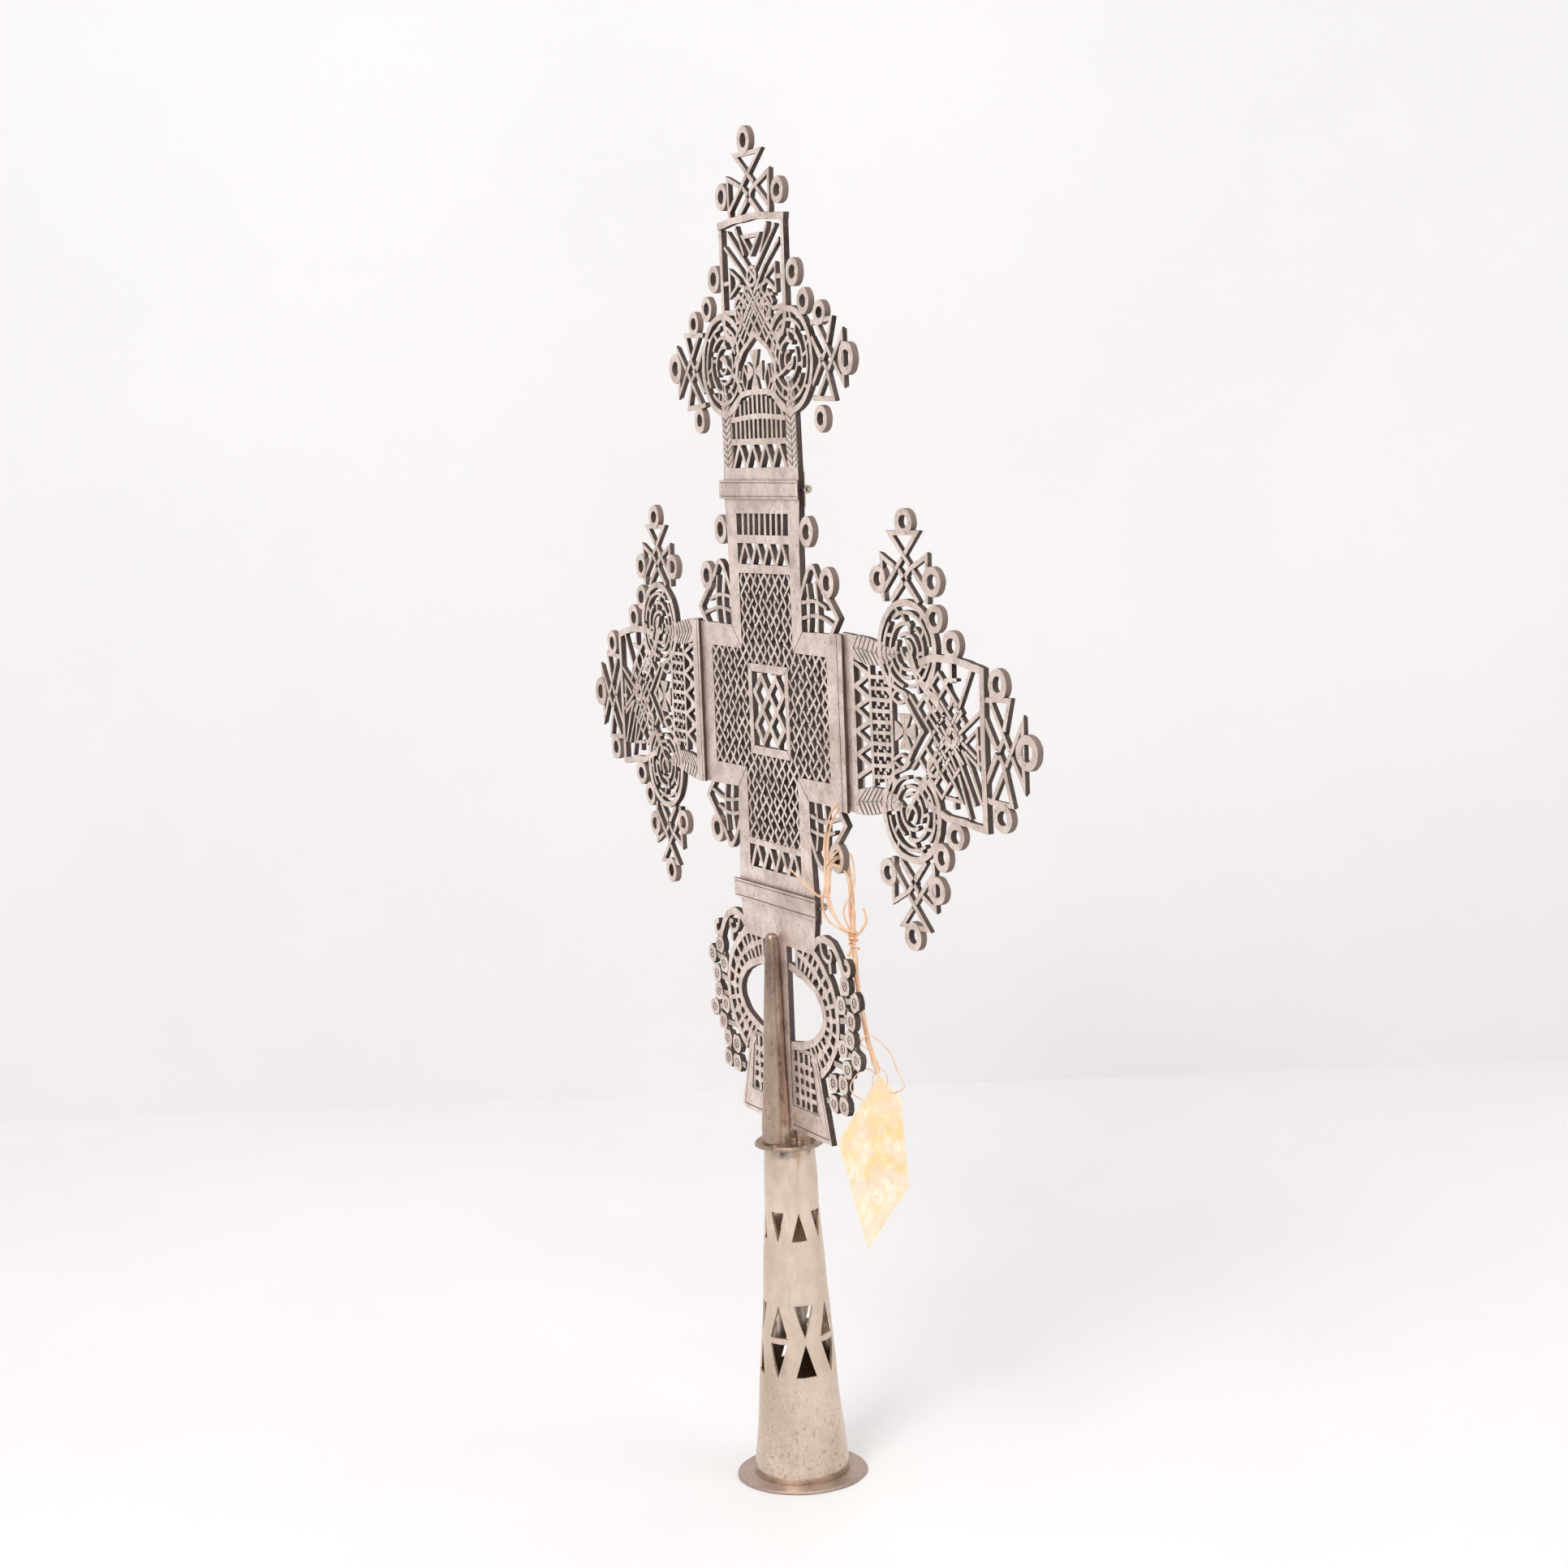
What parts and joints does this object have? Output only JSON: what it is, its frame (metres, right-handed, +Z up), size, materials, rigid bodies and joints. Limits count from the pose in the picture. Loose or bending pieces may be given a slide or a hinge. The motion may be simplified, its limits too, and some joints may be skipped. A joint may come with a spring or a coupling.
{
  "type": "processional cross",
  "caption": "Folding pierced metal processional cross with hinged top and wings on a ring plate and a tapered, windowed pole socket.",
  "frame": {"origin": "centre of the base flange's underside, on the pole socket's axis", "axes": "+Z up along the socket, front face of the cross towards -Y, +X to the right of a person facing the front"},
  "size_m": [0.4023, 0.0594, 0.5998],
  "materials": {
    "silver": "aged nickel silver, hand filed, dark in the cuts",
    "stem": "darker brassy cast metal, speckled",
    "pins": "dull wire",
    "raffia": "dry split palm fibre",
    "paper": "mottled handmade paper"
  },
  "bodies": {
    "socket": {"socket_tube": "silver", "base_flange": "silver", "collar": "silver", "forked_stem": "stem", "stem_pin_lower": "pins", "stem_pin_upper": "pins", "lower_plate": "silver", "lower_cover_band": "silver", "lower_leaf_fixed": "silver", "lower_hinge_pin": "pins", "raffia_tie": "raffia", "paper_tag": "paper"},
    "centre": {"centre_plate": "silver", "lower_leaf_moving": "silver", "upper_cover_band": "silver", "upper_leaf_fixed": "silver", "upper_hinge_pin": "pins", "left_cover_strip": "silver", "left_leaf_fixed": "silver", "left_hinge_pin": "pins", "right_cover_strip": "silver", "right_leaf_fixed": "silver", "right_hinge_pin": "pins"},
    "top": {"top_plate": "silver", "upper_leaf_moving": "silver"},
    "left_wing": {"left_wing_plate": "silver", "left_leaf_moving": "silver"},
    "right_wing": {"right_wing_plate": "silver", "right_leaf_moving": "silver"}
  },
  "joints": [
    {"name": "lower_fold", "type": "hinge", "parent": "socket", "child": "centre", "pos_m": [0, 0.004, 0.2646], "axis": [-1, 0, 0], "range_deg": [0, 75], "deforming": ["raffia_tie"]},
    {"name": "upper_fold", "type": "hinge", "parent": "centre", "child": "top", "pos_m": [0, 0.004, 0.4446], "axis": [-1, 0, 0], "range_deg": [0, 90]},
    {"name": "left_fold", "type": "hinge", "parent": "centre", "child": "left_wing", "pos_m": [-0.0715, 0.004, 0.3476], "axis": [0, 0, -1], "range_deg": [0, 90]},
    {"name": "right_fold", "type": "hinge", "parent": "centre", "child": "right_wing", "pos_m": [0.0715, 0.004, 0.3476], "axis": [0, 0, 1], "range_deg": [-7, 83]}
  ]
}
